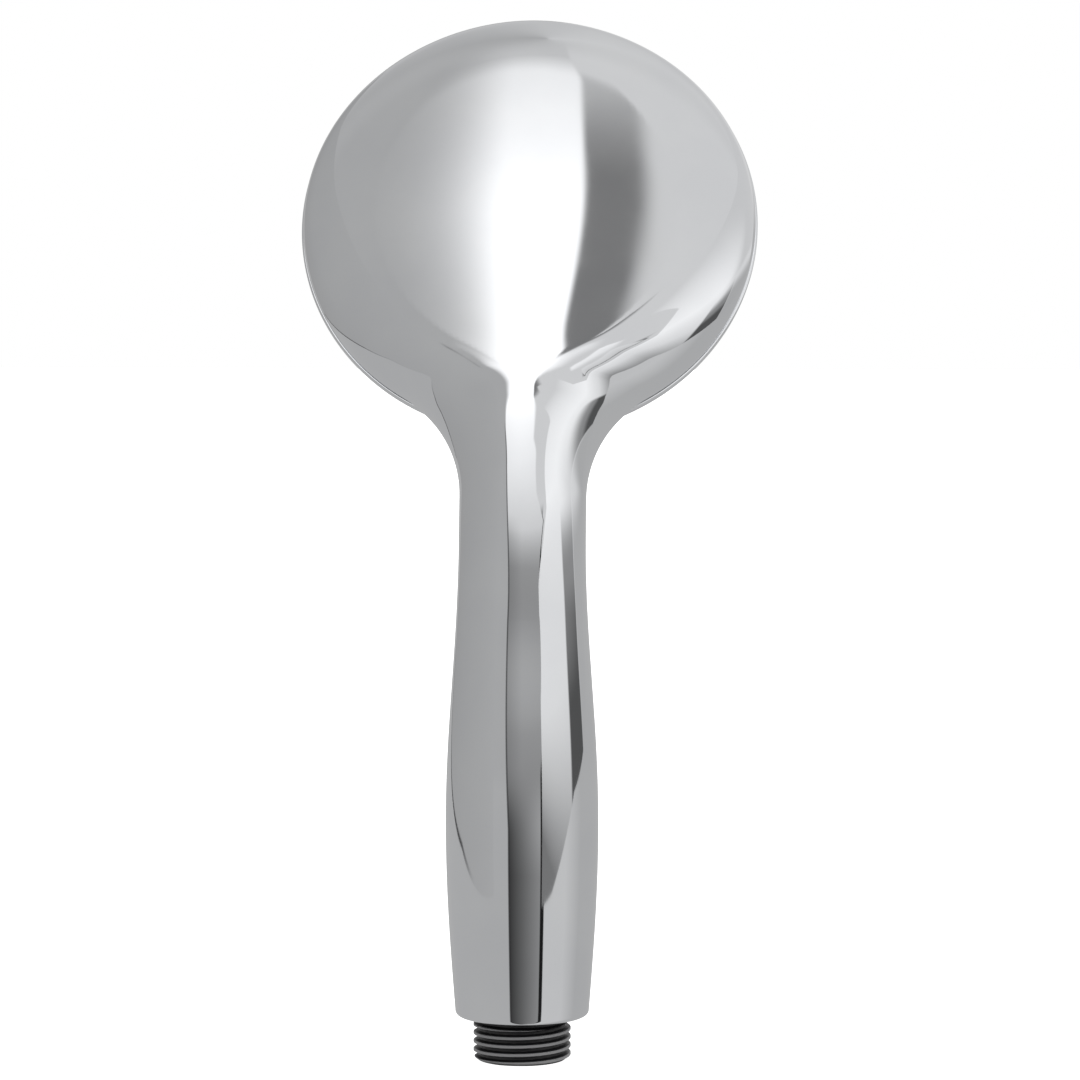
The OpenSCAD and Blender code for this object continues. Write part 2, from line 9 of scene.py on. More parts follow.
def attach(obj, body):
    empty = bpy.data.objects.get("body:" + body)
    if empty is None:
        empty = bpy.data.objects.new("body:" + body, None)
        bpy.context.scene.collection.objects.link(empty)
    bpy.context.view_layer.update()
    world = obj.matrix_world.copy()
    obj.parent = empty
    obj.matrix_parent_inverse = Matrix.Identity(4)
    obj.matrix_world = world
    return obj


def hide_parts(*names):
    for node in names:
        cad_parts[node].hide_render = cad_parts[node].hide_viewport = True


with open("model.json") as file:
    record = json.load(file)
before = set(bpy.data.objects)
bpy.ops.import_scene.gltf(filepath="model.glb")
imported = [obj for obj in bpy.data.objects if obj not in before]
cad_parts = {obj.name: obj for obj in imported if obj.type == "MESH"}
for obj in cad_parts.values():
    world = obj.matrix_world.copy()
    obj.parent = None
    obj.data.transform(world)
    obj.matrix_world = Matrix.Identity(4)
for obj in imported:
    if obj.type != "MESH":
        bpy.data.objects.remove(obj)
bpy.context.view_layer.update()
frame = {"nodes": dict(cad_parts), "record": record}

# ---------- sizes in millimetres, angles in radians ----------
# The shell's and the thread's sizes are the CAD model's, with two exceptions. BELLY_R, and the
# heights in make_ring, are up to 0.015 less, to keep this model to the CAD model's box.
# THREAD_DEEP is the standard thread's depth, 0.062 more than the CAD model's ring grooves.
MM = 0.001
SHELL_Z = 9.5
FOOT_R = 14.3
BELLY_R = 16.385
BELLY_Z = 51.0
NECK_R = 13.6
NECK_Z = 112.0
WALL = 2.4
HEAD_R = 50.0
TILT = math.radians(27.5)
HEAD_Z = 178.6
HEAD_Y = -33.0
DEEP_LOW = 17.6
DEEP_TOP = 6.0
BULGE = 1.5
FILLET_R = 27.0
EDGE_W = 16.0
RIM_W = 2.5
RIM_SHARE = 0.5
SHELL_R = HEAD_R - 0.4
RECESS_R = HEAD_R - 3.1
NECK_FRONT = 4.0
SIDE_SLOPE = 0.108
FOOT_ROUND = 1.0
RIM_LIFT = 1.5
SIDE_FROM, SIDE_FULL = -80, -30
CROWN_FROM, CROWN_FULL = -50, 10
RIM_FROM, RIM_FULL = -44, 6
RIDGE_LOW, RIDGE_TOP = 7, 17
SQUARE = 0.8
INNER_FRONT = -1.1
HEAD_FINE_V = 42
HEAD_END = math.radians(88.45)
UP = np.array([0.0, -math.sin(TILT), math.cos(TILT)])
BACK = np.array([0.0, math.cos(TILT), math.sin(TILT)])
HEAD_C = np.array([0.0, HEAD_Y, HEAD_Z])
LOW_Y = HEAD_Y - SHELL_R * UP[1]
LOW_Z = HEAD_Z - SHELL_R * UP[2]
BEND_Z = LOW_Z + LOW_Y * UP[2] / math.sin(TILT)
BEND_START = 2 * BEND_Z - LOW_Z
BEND_V = (BEND_START - HEAD_Z) * UP[2] - HEAD_Y * UP[1]
BEND_ANGLE = math.pi * (BEND_START - BELLY_Z) / (NECK_Z - BELLY_Z)
BEND_SLOPE = -(BELLY_R - NECK_R) / 2 * math.pi / (NECK_Z - BELLY_Z) * math.sin(BEND_ANGLE)
THREAD_R = 10.4775
THREAD_DEEP = 1.162
PITCH = 1.814
GROOVE_Z = 19.0


# ---------- curves of the shell ----------
def smooth(x, a, b):
    t = np.clip((x - a) / (b - a), 0, 1)
    return t * t * (3 - 2 * t)


def hermite(t, p, m, q, n):
    t2, t3 = t * t, t * t * t
    return (2 * t3 - 3 * t2 + 1) * p + (t3 - 2 * t2 + t) * m + (3 * t2 - 2 * t3) * q + (t3 - t2) * n


def handle_r(z):
    """Radius of the handle at height z: it swells from the foot and narrows to the neck."""
    if z < BELLY_Z:
        swell = math.sin(math.pi / 2 * (z - SHELL_Z) / (BELLY_Z - SHELL_Z))
        return FOOT_R + (BELLY_R - FOOT_R) * swell
    if z < NECK_Z:
        fall = 1 + math.cos(math.pi * (z - BELLY_Z) / (NECK_Z - BELLY_Z))
        return NECK_R + (BELLY_R - NECK_R) * fall / 2
    return NECK_R


def outline(v, r, n):
    """Half width at v along the head: neck n, a fillet, then the circle of radius r."""
    f = FILLET_R
    fv = -math.sqrt((r + f) ** 2 - (n + f) ** 2)
    ev = fv * r / (r + f)
    if v < fv:
        return n
    if v < ev:
        return n + f - math.sqrt(f * f - (v - fv) ** 2)
    return math.sqrt(max(0.0, r * r - v * v))


def outline_slope(v, r, n):
    return (outline(v + 5, r, n) - outline(v - 5, r, n)) / 10


def deep(v):
    """Depth of the back along its middle line."""
    if v < -SHELL_R:
        span = -SHELL_R - BEND_V
        end = ((DEEP_TOP - DEEP_LOW) / (2 * SHELL_R) + 2 * BULGE / SHELL_R) * span
        start = BEND_SLOPE / UP[2] * span
        return hermite((v - BEND_V) / span, handle_r(BEND_START), start, DEEP_LOW, end)
    slant = (DEEP_TOP - DEEP_LOW) * (v + SHELL_R) / (2 * SHELL_R)
    return DEEP_LOW + slant + BULGE * (1 - (v / SHELL_R) ** 2)


def side_slope(v):
    return SIDE_SLOPE * smooth(v, SIDE_FROM, SIDE_FULL)


def ridge_r(v):
    return RIDGE_LOW + (RIDGE_TOP - RIDGE_LOW) * smooth(v, CROWN_FROM, CROWN_FULL)


def edge_zone(v, n):
    return n + (EDGE_W - n) * smooth(v, CROWN_FROM, CROWN_FULL)


def rim_share(v):
    return RIM_SHARE * smooth(v, RIM_FROM, RIM_FULL)


def back_depth(x, v, r, n, cut):
    """Depth of the back at x: a shallow ridge that turns down at the edge over a crown and a thin rim."""
    w = outline(v, r, n)
    if v < 0:
        d = np.maximum(0, w - np.abs(x)) / math.sqrt(1 + outline_slope(v, r, n) ** 2)
    else:
        m = np.maximum(0, w * w - x * x)
        d = m / (r + np.sqrt(np.maximum(0, r * r - m)))
    e = edge_zone(v, n) - cut / 2
    c = 1 - np.minimum(1, d / max(e, 0.01))
    g = side_slope(v) * (np.sqrt(x * x + ridge_r(v) ** 2) - ridge_r(v))
    b = 1 - np.minimum(1, d / RIM_W)
    s = rim_share(v)
    return (deep(v) - cut - g) * ((1 - s) * np.sqrt(1 - c * c) + s * np.sqrt(1 - b * b))


def ring_of_points(origin, back, w, backs, front, p):
    """One cross-section: the given depths behind, a superellipse of power p in front."""
    h = len(backs) - 1
    a = np.pi * np.arange(h + 1) / h
    x = np.zeros((2 * h, 3))
    x[: h + 1] = origin + np.outer(w * np.cos(a), [1, 0, 0]) + np.outer(backs, back)
    c = np.cos(a[1:h])
    s = front * np.sqrt(1 - np.abs(c) ** p)
    x[h + 1:] = origin + np.outer(-w * c, [1, 0, 0]) - np.outer(s, back)
    return x


def handle_row(z, r, steps):
    a = np.pi * np.arange(steps + 1) / steps
    return ring_of_points(np.array([0, 0, z]), np.array([0, 1.0, 0]), r, r * np.sin(a), r, 2)


def neck_row(q, steps, cut, r, n, front_end):
    """Section of the bend, from the handle (q 0) to the head (q 1)."""
    y = q * q * LOW_Y
    z = (1 - q) ** 2 * BEND_START + 2 * q * (1 - q) * BEND_Z + q * q * LOW_Z
    a = TILT * smooth(q, 0, 1)
    v = (y - HEAD_Y) * UP[1] + (z - HEAD_Z) * UP[2]
    w = max(outline(v, r, n), handle_r(z) - cut)
    back = np.array([0, math.cos(a), math.sin(a)])
    lift = (RIM_LIFT if cut > 0 else 0) * smooth(q, 0.4, 1)
    squeeze = 1 - lift / (deep(v) - cut)
    ang = np.pi * np.arange(steps + 1) / steps
    b = back_depth(w * np.cos(ang), v, r, n, cut)
    u = (deep(v) - cut) * np.sin(ang)
    backs = squeeze * (u + (b - u) * smooth(q, 0.15, 0.75))
    start = BEND_SLOPE * 2 * (BEND_Z - BEND_START)
    front = hermite(q, handle_r(BEND_START) - cut, start, front_end, -14)
    origin = np.array([0, y, z]) + lift * back
    return ring_of_points(origin, back, w, backs, front, 2 + SQUARE * q)


def head_row(v, steps, cut, r, n, front):
    lift = RIM_LIFT if cut > 0 else 0
    squeeze = 1 - lift / (deep(v) - cut)
    w = outline(v, r, n)
    a = np.pi * np.arange(steps + 1) / steps
    backs = squeeze * back_depth(w * np.cos(a), v, r, n, cut)
    return ring_of_points(HEAD_C + v * UP + lift * BACK, BACK, w, backs, front, 2 + SQUARE)


def outer_rows(steps):
    rows = []
    for i in range(9):
        a = math.pi / 2 * i / 8
        z = SHELL_Z + FOOT_ROUND * (1 - math.cos(a))
        rows.append(handle_row(z, handle_r(z) - FOOT_ROUND * (1 - math.sin(a)), steps))
    low = SHELL_Z + FOOT_ROUND
    for i in range(1, 41):
        z = low + (BEND_START - low) * i / 40
        rows.append(handle_row(z, handle_r(z), steps))
    for i in range(1, 48):
        rows.append(neck_row(i / 48, steps, 0, SHELL_R, NECK_R, NECK_FRONT))
    for i in range(13):
        v = -SHELL_R + (SHELL_R - HEAD_FINE_V) * i / 12
        rows.append(head_row(v, steps, 0, SHELL_R, NECK_R, NECK_FRONT))
    a0 = math.asin(-HEAD_FINE_V / SHELL_R)
    for i in range(1, 97):
        v = SHELL_R * math.sin(a0 + (HEAD_END - a0) * i / 96)
        rows.append(head_row(v, steps, 0, SHELL_R, NECK_R, 1))
    return rows


def inner_rows(steps):
    r = RECESS_R - 0.1
    n = NECK_R - WALL
    rows = [handle_row(z, handle_r(z) - WALL, steps) for z in (SHELL_Z + 6, 30, 50, 70, BEND_START)]
    for i in range(1, 17):
        rows.append(neck_row(i / 17, steps, WALL, r, n, INNER_FRONT))
    rows.append(head_row(-SHELL_R, steps, WALL, r, n, INNER_FRONT))
    for i in range(1, 33):
        v = r * math.sin(math.radians(-90 + 177 * i / 32))
        rows.append(head_row(v, steps, WALL, r, n, INNER_FRONT))
    return rows


# ---------- mesh helpers ----------
def new_object(name, verts, faces):
    mesh = bpy.data.meshes.new(name)
    mesh.from_pydata([tuple(p) for p in verts], [], faces)
    mesh.validate()
    mesh.update()
    obj = bpy.data.objects.new(name, mesh)
    bpy.context.scene.collection.objects.link(obj)
    return obj


def loft(name, rows):
    n = len(rows[0])
    faces = []
    for i in range(len(rows) - 1):
        for j in range(n):
            a = i * n + j
            b = i * n + (j + 1) % n
            faces.append((a, b, b + n, a + n))
    faces.append(tuple(range(n - 1, -1, -1)))
    faces.append(tuple(range((len(rows) - 1) * n, len(rows) * n)))
    obj = new_object(name, np.concatenate(rows) * MM, faces)
    face_outwards(obj)
    return obj


def lathe(name, profile, segments):
    """Turns a closed (radius, height) profile round the Z axis."""
    n = len(profile)
    verts = []
    for i in range(segments):
        a = 2 * math.pi * i / segments
        for r, z in profile:
            verts.append((r * math.cos(a) * MM, r * math.sin(a) * MM, z * MM))
    faces = []
    for i in range(segments):
        k = (i + 1) % segments
        for j in range(n):
            m = (j + 1) % n
            faces.append((i * n + j, k * n + j, k * n + m, i * n + m))
    obj = new_object(name, verts, faces)
    face_outwards(obj)
    return obj


def face_outwards(obj):
    bm = bmesh.new()
    bm.from_mesh(obj.data)
    bmesh.ops.remove_doubles(bm, verts=bm.verts, dist=1e-7)
    bmesh.ops.recalc_face_normals(bm, faces=bm.faces)
    bm.to_mesh(obj.data)
    bm.free()
    obj.data.update()


def plug(name, radius, low, high, segments=256):
    turns = [2 * math.pi * i / segments for i in range(segments)]
    ring = [(radius * math.cos(a), radius * math.sin(a)) for a in turns]
    verts = [(x * MM, y * MM, z * MM) for z in (low, high) for x, y in ring]
    nexts = [(i + 1) % segments for i in range(segments)]
    faces = [(i, k, k + segments, i + segments) for i, k in enumerate(nexts)]
    faces.append(tuple(range(segments - 1, -1, -1)))
    faces.append(tuple(range(segments, 2 * segments)))
    return new_object(name, verts, faces)


def to_head(obj):
    turn = Matrix.Rotation(math.pi / 2 + TILT, 4, "X")
    obj.data.transform(Matrix.Translation(Vector(HEAD_C * MM)) @ turn)
    obj.data.update()
    return obj


def cut(obj, tools):
    for tool in tools:
        modifier = obj.modifiers.new("cut", "BOOLEAN")
        modifier.operation = "DIFFERENCE"
        modifier.solver = "MANIFOLD"
        modifier.object = tool
    bpy.context.view_layer.update()
    graph = bpy.context.evaluated_depsgraph_get()
    mesh = bpy.data.meshes.new_from_object(obj.evaluated_get(graph))
    obj.modifiers.clear()
    obj.data = mesh
    for tool in tools:
        bpy.data.objects.remove(tool)


def soften(obj, angle):
    bm = bmesh.new()
    bm.from_mesh(obj.data)
    for face in bm.faces:
        face.smooth = True
    limit = math.radians(angle)
    for edge in bm.edges:
        edge.smooth = len(edge.link_faces) != 2 or edge.calc_face_angle(0) < limit
    bm.to_mesh(obj.data)
    bm.free()
    obj.data.update()


# ---------- materials ----------
def start_material(name):
    material = bpy.data.materials.new(name)
    material.use_nodes = True
    shader = material.node_tree.nodes["Principled BSDF"]
    return material, material.node_tree, shader


def noise(tree, scale, detail, rough=0.5):
    coords = tree.nodes.new("ShaderNodeTexCoord")
    texture = tree.nodes.new("ShaderNodeTexNoise")
    texture.inputs["Scale"].default_value = scale
    texture.inputs["Detail"].default_value = detail
    texture.inputs["Roughness"].default_value = rough
    tree.links.new(coords.outputs["Object"], texture.inputs["Vector"])
    return texture


def spread(tree, source, low, high):
    rng = tree.nodes.new("ShaderNodeMapRange")
    rng.inputs["From Min"].default_value = 0.3
    rng.inputs["From Max"].default_value = 0.7
    rng.inputs["To Min"].default_value = low
    rng.inputs["To Max"].default_value = high
    tree.links.new(source.outputs["Fac"], rng.inputs["Value"])
    return rng


def tint(tree, source, dark, light):
    ramp = tree.nodes.new("ShaderNodeValToRGB")
    ramp.color_ramp.elements[0].position = 0.35
    ramp.color_ramp.elements[0].color = (*dark, 1)
    ramp.color_ramp.elements[1].position = 0.65
    ramp.color_ramp.elements[1].color = (*light, 1)
    tree.links.new(source.outputs["Fac"], ramp.inputs["Fac"])
    return ramp


def bump(tree, shader, source, strength, distance):
    node = tree.nodes.new("ShaderNodeBump")
    node.inputs["Strength"].default_value = strength
    node.inputs["Distance"].default_value = distance
    tree.links.new(source.outputs["Fac"], node.inputs["Height"])
    tree.links.new(node.outputs["Normal"], shader.inputs["Normal"])


def chrome():
    material, tree, shader = start_material("chrome_plate")
    shader.inputs["Metallic"].default_value = 1.0
    haze = noise(tree, 55, 4)
    colour = tint(tree, haze, (0.82, 0.83, 0.85), (0.85, 0.86, 0.875))
    rough = spread(tree, haze, 0.025, 0.05)
    tree.links.new(colour.outputs["Color"], shader.inputs["Base Color"])
    tree.links.new(rough.outputs["Result"], shader.inputs["Roughness"])
    return material


def moulded(name, dark, light, rough_low, rough_high, grain, strength):
    material, tree, shader = start_material(name)
    fine = noise(tree, grain, 6)
    broad = noise(tree, grain * 0.06, 3)
    colour = tint(tree, broad, dark, light)
    rough = spread(tree, fine, rough_low, rough_high)
    tree.links.new(colour.outputs["Color"], shader.inputs["Base Color"])
    tree.links.new(rough.outputs["Result"], shader.inputs["Roughness"])
    bump(tree, shader, fine, strength, 0.00005)
    return material


INK = (0.006, 0.006, 0.007)
SOOT = (0.011, 0.011, 0.012)
# light grey of the painted highlight on the thread crests
CREST_HIGHLIGHT = (0.34, 0.34, 0.345)
MILK = (0.74, 0.74, 0.73)
CREAM = (0.79, 0.79, 0.78)


def thread_black():
    """Black moulding whose thread crests, the outermost quarter millimetre, carry a painted highlight in
    light grey.
    """
    material = moulded("black_thread", INK, SOOT, 0.3, 0.5, 900, 0.2)
    tree = material.node_tree
    shader = tree.nodes["Principled BSDF"]
    coords = tree.nodes.new("ShaderNodeTexCoord")
    flat = tree.nodes.new("ShaderNodeVectorMath")
    flat.operation = "MULTIPLY"
    flat.inputs[1].default_value = (1, 1, 0)
    length = tree.nodes.new("ShaderNodeVectorMath")
    length.operation = "LENGTH"
    tree.links.new(coords.outputs["Object"], flat.inputs[0])
    tree.links.new(flat.outputs["Vector"], length.inputs[0])
    # painted highlight: the outermost quarter millimetre of the thread crests turns light grey, standing
    # in for their shine
    crest = tree.nodes.new("ShaderNodeMapRange")
    crest.interpolation_type = "SMOOTHSTEP"
    crest.inputs["From Min"].default_value = (THREAD_R - 0.34) * MM
    crest.inputs["From Max"].default_value = (THREAD_R - 0.12) * MM
    tree.links.new(length.outputs["Value"], crest.inputs["Value"])
    high = tree.nodes.new("ShaderNodeMapRange")
    high.inputs["From Min"].default_value = 9.3 * MM
    high.inputs["From Max"].default_value = 9.0 * MM
    split = tree.nodes.new("ShaderNodeSeparateXYZ")
    tree.links.new(coords.outputs["Object"], split.inputs[0])
    tree.links.new(split.outputs["Z"], high.inputs["Value"])
    where = tree.nodes.new("ShaderNodeMath")
    where.operation = "MULTIPLY"
    tree.links.new(crest.outputs["Result"], where.inputs[0])
    tree.links.new(high.outputs["Result"], where.inputs[1])
    mix = tree.nodes.new("ShaderNodeMix")
    mix.data_type = "RGBA"
    mix.inputs[7].default_value = (*CREST_HIGHLIGHT, 1)
    old = shader.inputs["Base Color"].links[0].from_socket
    tree.links.new(where.outputs["Value"], mix.inputs[0])
    tree.links.new(old, mix.inputs[6])
    tree.links.new(mix.outputs[2], shader.inputs["Base Color"])
    return material


def steel():
    material, tree, shader = start_material("bright_steel")
    shader.inputs["Metallic"].default_value = 1.0
    fine = noise(tree, 1800, 4)
    colour = tint(tree, fine, (0.50, 0.50, 0.51), (0.62, 0.62, 0.63))
    rough = spread(tree, fine, 0.2, 0.36)
    tree.links.new(colour.outputs["Color"], shader.inputs["Base Color"])
    tree.links.new(rough.outputs["Result"], shader.inputs["Roughness"])
    bump(tree, shader, fine, 0.15, 0.00003)
    return material


MATERIALS = {
    "chrome": chrome(),
    "black_plastic": moulded("black_moulding", INK, SOOT, 0.32, 0.5, 900, 0.2),
    "grey_plastic": moulded("grey_moulding", (0.27, 0.28, 0.3), (0.31, 0.32, 0.34), 0.34, 0.5, 900, 0.2),
    "white_plastic": moulded("white_moulding", MILK, CREAM, 0.26, 0.4, 900, 0.15),
    "silicone": moulded("grey_silicone", (0.1, 0.105, 0.115), (0.125, 0.13, 0.14), 0.55, 0.75, 1400, 0.3),
    "seal_rubber": moulded("black_rubber", (0.01,) * 3, (0.018,) * 3, 0.6, 0.8, 1400, 0.3),
    "steel": steel(),
}


def dress(obj, slot):
    obj.data.materials.clear()
    obj.data.materials.append(MATERIALS[slot])


# ---------- pieces ----------
def make_shell():
    shell = loft("shell", outer_rows(96))
    hollow = loft("hollow", inner_rows(48))
    foot = plug("foot_bore", 11.7, SHELL_Z - 1, SHELL_Z + 7)
    recess = to_head(plug("recess", RECESS_R, -3, 17))
    face = to_head(plug("face_cut", HEAD_R + 0.2, 0, 20, 384))
    cut(shell, [hollow, foot, recess, face])
    soften(shell, 32)
    return shell


def make_ring():
    """Bezel: a lip that sits in the shell's recess, a rounded outside and a rounded opening."""
    inner, lip = HEAD_R - 6.5, RECESS_R - 0.25
    small, large, lead = 0.35, 2.6, 0.6
    outer_z, inner_z = 1.388, 3.388
    profile = [(RECESS_R - 2, -2.6), (lip, -2.6), (lip, 0.3), (HEAD_R - small, 0.3)]
    for i in range(1, 6):
        a = math.pi / 2 * i / 5
        profile.append((HEAD_R - small + small * math.sin(a), 0.65 - small * math.cos(a)))
    for i in range(1, 17):
        a = math.pi / 2 * i / 16
        profile.append((HEAD_R - large + large * math.cos(a), outer_z + large * math.sin(a)))
    for i in range(7):
        a = math.pi / 2 * i / 6
        profile.append((inner + lead - lead * math.sin(a), inner_z + lead * math.cos(a)))
    profile += [(inner, lead), (RECESS_R - 2, lead)]
    ring = to_head(lathe("bezel", profile, 384))
    soften(ring, 35)
    return ring


def thread_depth(height):
    t = (height / PITCH) % 1.0
    crest, flank = 0.22, 0.26
    if t < crest:
        return 0.0
    if t < crest + flank:
        return smooth(t, crest, crest + flank)
    if t < 1 - flank:
        return 1.0
    return 1 - smooth(t, 1 - flank, 1)


def spigot_object():
    """Threaded inlet: a helical thread below, a seal groove and stepped bores above."""
    segments = 240
    low, high, step = 0.0, 9.1, 0.065
    count = int(round((high - low) / step))
    rows = []
    for k in range(count + 1):
        z = low + step * k
        limit = THREAD_R - 0.9 + min(1.0, z / 0.7) * 0.9
        fade = float(smooth(z, 8.3, 7.6)) if z > 7.6 else 1.0
        row = []
        for i in range(segments):
            a = 2 * math.pi * i / segments
            depth = THREAD_DEEP * thread_depth(z - PITCH * a / (2 * math.pi) + 20 * PITCH)
            r = min(limit, THREAD_R - THREAD_DEEP + (THREAD_DEEP - depth) * fade)
            row.append((r * math.cos(a), r * math.sin(a), z))
        rows.append(row)
    collar = [(11.2, 9.75), (11.4, 9.9), (11.4, 14.4), (11.3, 14.5), (10.2, 14.8)]
    half_groove = [(10.2, 0.88), (9.85, 0.71), (9.58, 0.36), (9.5, 0)]
    groove = [(r, GROOVE_Z - h) for r, h in half_groove]
    groove += [(r, GROOVE_Z + h) for r, h in half_groove[2::-1]]
    end = [(10.2, 39.8), (10.0, 40), (6.8, 40), (6.6, 39.8)]
    tube_socket = [(6.6, 36.2), (5, 36.2), (5, 30.6), (4.6, 30.6)]
    inlet_bore = [(4.6, 26), (7, 26), (7, 8.4), (7.6, 8.4), (7.6, 0.25), (7.85, 0)]
    turns = [2 * math.pi * i / segments for i in range(segments)]
    for r, z in collar + groove + end + tube_socket + inlet_bore:
        rows.append([(r * math.cos(a), r * math.sin(a), z) for a in turns])
    verts = [(x * MM, y * MM, z * MM) for row in rows for x, y, z in row]
    faces = []
    total = len(rows)
    for k in range(total):
        m = (k + 1) % total
        for i in range(segments):
            j = (i + 1) % segments
            faces.append((k * segments + i, k * segments + j, m * segments + j, m * segments + i))
    obj = new_object("spigot", verts, faces)
    face_outwards(obj)
    soften(obj, 38)
    return obj


def build():
    shell = make_shell()
    dress(shell, "chrome")
    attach(shell, "shell")
    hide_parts("body_shell")
    ring = make_ring()
    dress(ring, "chrome")
    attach(ring, "shell")
    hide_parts("front_ring")
    spigot = spigot_object()
    dress(spigot, "black_plastic")
    spigot.data.materials[0] = thread_black()
    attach(spigot, "shell")
    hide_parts("inlet_spigot")
    slots = {s["node"]: s["material_slot"] for s in frame["record"]["subparts"]}
    for name, obj in frame["nodes"].items():
        obj.data.materials.clear()
        obj.data.materials.append(MATERIALS[slots[name]])


build()


# ---------- studio ----------
# Chrome shows only what it reflects, so the soft box, strip and boards shape most of the picture.
# Their edges and levels come from matching the reflections in the reference photograph, so this
# is more than a plain soft light.
CAMERA_AZ = 182.6
CAMERA_EL = 4.91
CAMERA_FAR = 1.0
LENS = 156.3
AIM = Vector((-0.00385, 0, 0.1119))
WALL_FAR = 0.36
SIDE_GREY = 0.44
FLOOR_GREY = 0.457
RIGHT_WHITE = 0.70
BRIGHT = 1.3


class Shades:
    """Builds a brightness from plain number nodes in one node tree."""

    def __init__(self, tree):
        self.tree = tree

    def plug(self, value, socket):
        if isinstance(value, (int, float)):
            socket.default_value = value
        else:
            self.tree.links.new(value, socket)

    def math(self, operation, a, b=0.0):
        node = self.tree.nodes.new("ShaderNodeMath")
        node.operation = operation
        self.plug(a, node.inputs[0])
        self.plug(b, node.inputs[1])
        return node.outputs[0]

    def step(self, value, low, high):
        """0 below low, 1 above high, smooth between."""
        node = self.tree.nodes.new("ShaderNodeMapRange")
        node.interpolation_type = "SMOOTHSTEP"
        self.plug(value, node.inputs["Value"])
        node.inputs["From Min"].default_value = low
        node.inputs["From Max"].default_value = high
        return node.outputs["Result"]

    def band(self, value, low, high, soft):
        rise = self.step(self.math("SUBTRACT", value, low), -soft, soft)
        fall = self.step(self.math("SUBTRACT", value, high), -soft, soft)
        return self.math("MULTIPLY", rise, self.math("SUBTRACT", 1.0, fall))

    def line(self, value, points):
        """Straight lines through (value, result) points."""
        node = self.tree.nodes.new("ShaderNodeFloatCurve")
        curve = node.mapping.curves[0]
        x0, x1 = points[0][0], points[-1][0]
        low = min(p[1] for p in points)
        high = max(p[1] for p in points)
        rise = max(high - low, 1e-6)
        spots = [((x - x0) / (x1 - x0), (y - low) / rise) for x, y in points]
        curve.points[0].location = spots[0]
        curve.points[-1].location = spots[-1]
        for spot in spots[1:-1]:
            curve.points.new(*spot)
        for point in curve.points:
            point.handle_type = "VECTOR"
        node.mapping.update()
        scaled = self.math("DIVIDE", self.math("SUBTRACT", value, x0), x1 - x0)
        clamp = self.math("MINIMUM", self.math("MAXIMUM", scaled, 0.0), 1.0)
        self.plug(clamp, node.inputs["Value"])
        return self.math("ADD", self.math("MULTIPLY", node.outputs["Value"], rise), low)

    def both(self, a, b):
        return self.math("MULTIPLY", a, b)

    def over(self, under, paint, mask):
        node = self.tree.nodes.new("ShaderNodeMix")
        node.data_type = "FLOAT"
        self.plug(mask, node.inputs[0])
        self.plug(under, node.inputs[2])
        self.plug(paint, node.inputs[3])
        return node.outputs[0]


